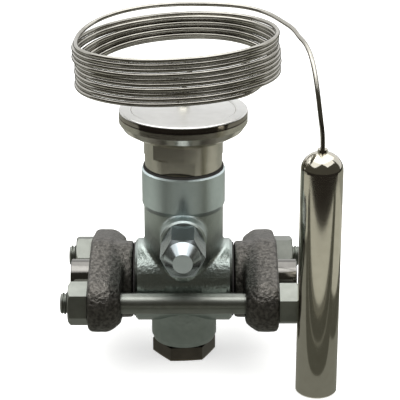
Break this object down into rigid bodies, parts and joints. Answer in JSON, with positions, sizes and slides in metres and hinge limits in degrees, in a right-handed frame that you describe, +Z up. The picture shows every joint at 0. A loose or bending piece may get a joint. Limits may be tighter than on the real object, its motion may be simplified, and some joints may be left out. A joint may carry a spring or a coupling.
{
  "type": "thermostatic expansion valve",
  "caption": "Refrigerant expansion valve with flanged solder sockets, bevel-geared superheat setting, diaphragm element, coiled capillary tube and sensing bulb.",
  "frame": {"origin": "centre of the bottom plug's foot, on the valve axis", "axes": "+Z up the valve axis, X along the ports with the inlet at -X and the outlet at +X, the setting spindle towards -Y"},
  "size_m": [0.1213, 0.0946, 0.1538],
  "materials": {
    "zinc_steel": "forged steel, zinc plated and passivated",
    "cast_flange": "sand cast, dark",
    "zinc_fastener": "zinc plated steel",
    "bright_cap": "bright zinc plated, turned",
    "stainless_turned": "turned stainless steel",
    "stainless_disc": "brushed stainless steel",
    "stainless_tube": "drawn stainless steel capillary",
    "bulb_steel": "polished stainless steel",
    "dark_plug": "dark passivated steel",
    "socket_steel": "copper plated steel, dulled",
    "brass": "machined brass",
    "gasket_fibre": "compressed fibre and aluminium seals",
    "spring_steel": "spring wire"
  },
  "bodies": {
    "valve": {"valve_body": "zinc_steel", "bottom_plug": "dark_plug", "plug_gasket": "gasket_fibre", "flange_left": "cast_flange", "flange_right": "cast_flange", "flange_gasket_left": "gasket_fibre", "flange_gasket_right": "gasket_fibre", "solder_socket_left": "socket_steel", "solder_socket_right": "socket_steel", "stud_front": "zinc_fastener", "stud_back": "zinc_fastener", "nut_front_left": "zinc_fastener", "nut_back_left": "zinc_fastener", "nut_front_right": "zinc_fastener", "nut_back_right": "zinc_fastener", "seat_insert": "brass", "spindle_bush": "brass", "spindle_packing": "gasket_fibre", "gland_nut": "brass", "element_gasket": "gasket_fibre", "element_body": "stainless_turned", "diaphragm": "stainless_disc", "top_cover": "stainless_disc", "capillary_ferrule": "stainless_turned", "capillary_lead": "stainless_tube", "capillary_coil": "stainless_tube", "capillary_tail": "stainless_tube", "bulb": "bulb_steel"},
    "stem": {"thrust_pad": "brass", "push_rod": "stainless_turned", "valve_cone": "stainless_turned", "follower_spring": "spring_steel"},
    "spindle": {"setting_spindle": "stainless_turned"},
    "gear": {"setting_gear": "brass"},
    "seat": {"spring_seat": "brass", "setting_spring": "spring_steel"},
    "cap_washer": {"cap_gasket": "gasket_fibre"},
    "cap": {"seal_cap": "bright_cap"}
  },
  "joints": [
    {"name": "stem_slide", "type": "slide", "parent": "valve", "child": "stem", "axis": [0, 0, -1], "range_m": [0, 0.0015], "stiffness_N_per_m": 8000, "springref_m": -0.0005, "deforming": ["follower_spring", "setting_spring"]},
    {"name": "seat_slide", "type": "slide", "parent": "valve", "child": "seat", "axis": [0, 0, 1], "range_m": [-0.0025, 0.0025]},
    {"name": "gear_turn", "type": "hinge", "parent": "valve", "child": "gear", "pos_m": [0, 0, 0.056], "axis": [0, 0, 1], "range_deg": [-600, 600]},
    {"name": "spindle_turn", "type": "hinge", "parent": "valve", "child": "spindle", "pos_m": [0, -0.02, 0.0631], "axis": [0, -1, 0], "range_deg": [-1560, 1560]},
    {"name": "cap_slide", "type": "slide", "parent": "valve", "child": "cap_washer", "axis": [0, -1, 0], "range_m": [0, 0.012]},
    {"name": "cap_turn", "type": "hinge", "parent": "cap_washer", "child": "cap", "pos_m": [0, -0.03, 0.0631], "axis": [0, -1, 0], "range_deg": [0, 2880]}
  ],
  "couplings": [
    {"joint": "gear_turn", "follows": "seat_slide", "rad_per_m": -4188.8},
    {"joint": "spindle_turn", "follows": "seat_slide", "rad_per_m": -10891},
    {"joint": "cap_turn", "follows": "cap_slide", "rad_per_m": 4188.8}
  ]
}
